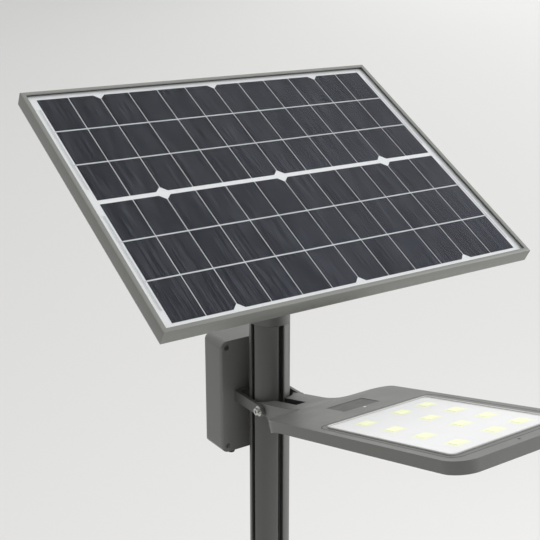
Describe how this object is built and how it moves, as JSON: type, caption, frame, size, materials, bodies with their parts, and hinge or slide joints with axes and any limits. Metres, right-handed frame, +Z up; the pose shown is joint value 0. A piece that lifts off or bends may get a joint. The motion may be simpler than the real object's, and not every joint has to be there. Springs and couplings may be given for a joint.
{
  "type": "solar street lamp",
  "caption": "Pole-mounted outdoor lamp with a tilted solar panel on a swivel head and a sliding carriage that holds a battery box and a flat tilting lamp head.",
  "frame": {"origin": "underside centre of the base plate, on the mast axis", "axes": "+Z up along the mast, -Y towards the lamp head and the lower edge of the panel, +X along the long side of the panel"},
  "size_m": [0.448, 0.5252, 1.7675],
  "materials": {
    "profile": "dark satin anodised",
    "housing": "satin powder coat",
    "frame_alu": "satin anodised",
    "steel_dark": "dark zinc",
    "steel_bright": "plain bright",
    "base_paint": "satin powder coat",
    "black_plastic": "fine texture",
    "seal_rubber": "matt",
    "cell": "dark with fine grid lines",
    "cover_glass": "clear low-iron",
    "backsheet": "white laminate",
    "ribbon": "tinned copper",
    "board_green": "solder mask",
    "board_white": "white solder mask",
    "battery_wrap": "shrink wrap",
    "phosphor": "soft glow",
    "reflector": "white moulding",
    "window": "clear",
    "sensor": "smoked",
    "button": "moulded",
    "lens_white": "frosted"
  },
  "bodies": {
    "mast": {"base_plate": "base_paint", "base_socket": "base_paint", "socket_screws": "steel_dark", "mast": "profile", "mast_cap": "profile", "cap_screw": "steel_dark"},
    "swivel": {"swivel_head": "profile", "swivel_set_screws": "steel_dark"},
    "panel": {"tilt_bracket": "profile", "tilt_bolt": "steel_dark", "tilt_nut": "steel_dark", "tilt_washers": "steel_dark", "cross_rails": "frame_alu", "rail_screws": "steel_dark", "frame_front": "frame_alu", "frame_back": "frame_alu", "frame_left": "frame_alu", "frame_right": "frame_alu", "corner_keys": "frame_alu", "edge_seal": "seal_rubber", "panel_glass": "cover_glass", "solar_cells": "cell", "cell_ribbons": "ribbon", "backsheet": "backsheet", "junction_box": "black_plastic", "junction_lid": "black_plastic", "junction_gland": "black_plastic"},
    "carriage": {"carriage_strap": "profile", "slot_nuts": "steel_dark", "slot_screws": "steel_dark", "box_screws": "steel_dark", "battery_box": "housing", "box_seal": "seal_rubber", "box_lid": "housing", "lid_screws": "steel_dark", "battery_cells": "battery_wrap", "cell_holder": "black_plastic", "charge_controller": "board_green", "box_glands": "black_plastic", "button_bezel": "black_plastic", "pivot_bolts": "steel_bright", "pivot_washers": "steel_bright"},
    "button": {"power_button": "button"},
    "lamp": {"lamp_housing": "housing", "lamp_cover": "housing", "cover_screws": "steel_dark", "led_board": "board_white", "led_chips": "phosphor", "reflector": "reflector", "window_gasket": "seal_rubber", "lamp_window": "window", "driver_board": "board_green", "sensor_window": "sensor", "indicator_lens": "lens_white", "bezel_screws": "steel_dark", "lamp_gland": "black_plastic"}
  },
  "joints": [
    {"name": "panel_swivel", "type": "hinge", "parent": "mast", "child": "swivel", "pos_m": [0, 0, 1.524], "axis": [0, 0, 1], "range_deg": [-90, 90]},
    {"name": "panel_tilt", "type": "hinge", "parent": "swivel", "child": "panel", "pos_m": [0, 0, 1.643], "axis": [1, 0, 0], "range_deg": [-30, 20]},
    {"name": "carriage_slide", "type": "slide", "parent": "mast", "child": "carriage", "axis": [0, 0, 1], "range_m": [-0.3, 0.01]},
    {"name": "lamp_tilt", "type": "hinge", "parent": "carriage", "child": "lamp", "pos_m": [0, -0.023, 1.418], "axis": [1, 0, 0], "range_deg": [-6, 24]},
    {"name": "power_press", "type": "slide", "parent": "carriage", "child": "button", "axis": [0, 0, 1], "range_m": [0, 0.0025], "stiffness_N_per_m": 300, "springref_m": -0.001}
  ]
}
